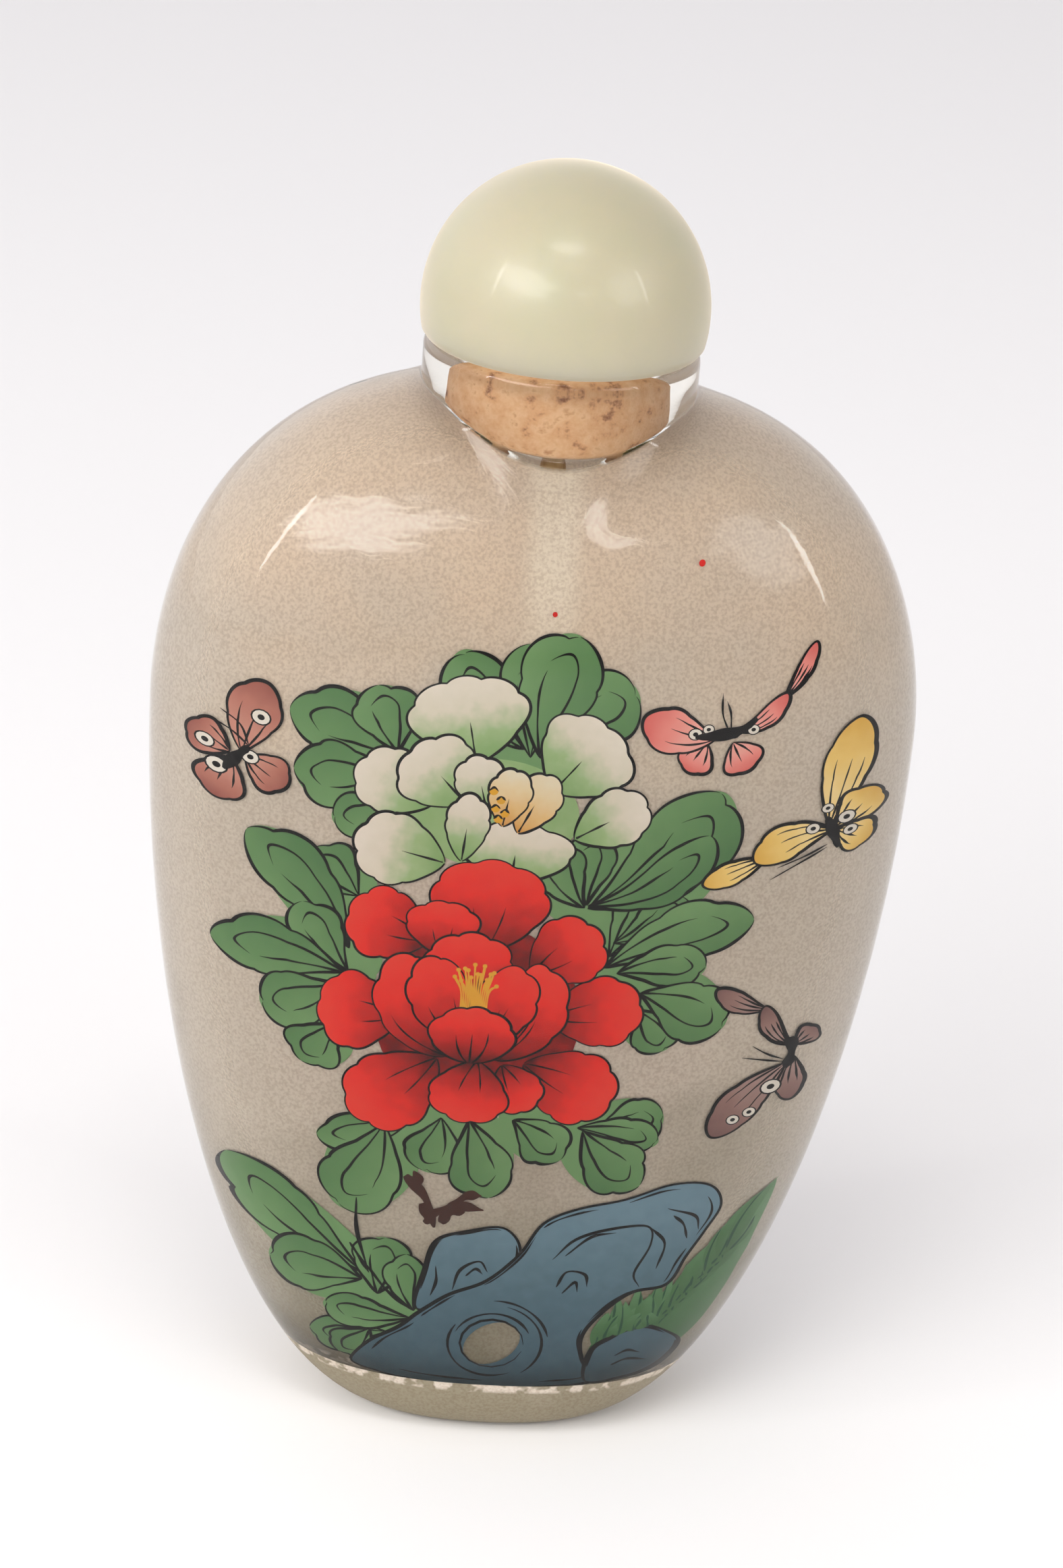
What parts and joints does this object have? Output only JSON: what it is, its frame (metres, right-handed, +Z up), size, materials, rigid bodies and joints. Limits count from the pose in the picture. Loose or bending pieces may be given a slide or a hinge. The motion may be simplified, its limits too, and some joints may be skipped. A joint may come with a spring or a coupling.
{
  "type": "snuff bottle",
  "caption": "Flattened clear glass snuff bottle with an inside-painted peony scene, oval foot and round neck, closed by a domed stone stopper with cork and spoon.",
  "frame": {"origin": "centre of the foot's flat underside", "axes": "+Z up along the neck's axis; X across the broad painted face; -Y is the painted front"},
  "size_m": [0.05, 0.026, 0.0865],
  "materials": {
    "glass": "polished outside, frosted and painted inside",
    "stone": "polished",
    "cork": "cut cork",
    "bamboo": "smooth"
  },
  "bodies": {
    "root": {"bottle": "glass", "stopper_cap": "stone", "stopper_cork": "cork", "snuff_spoon": "bamboo"}
  },
  "joints": []
}
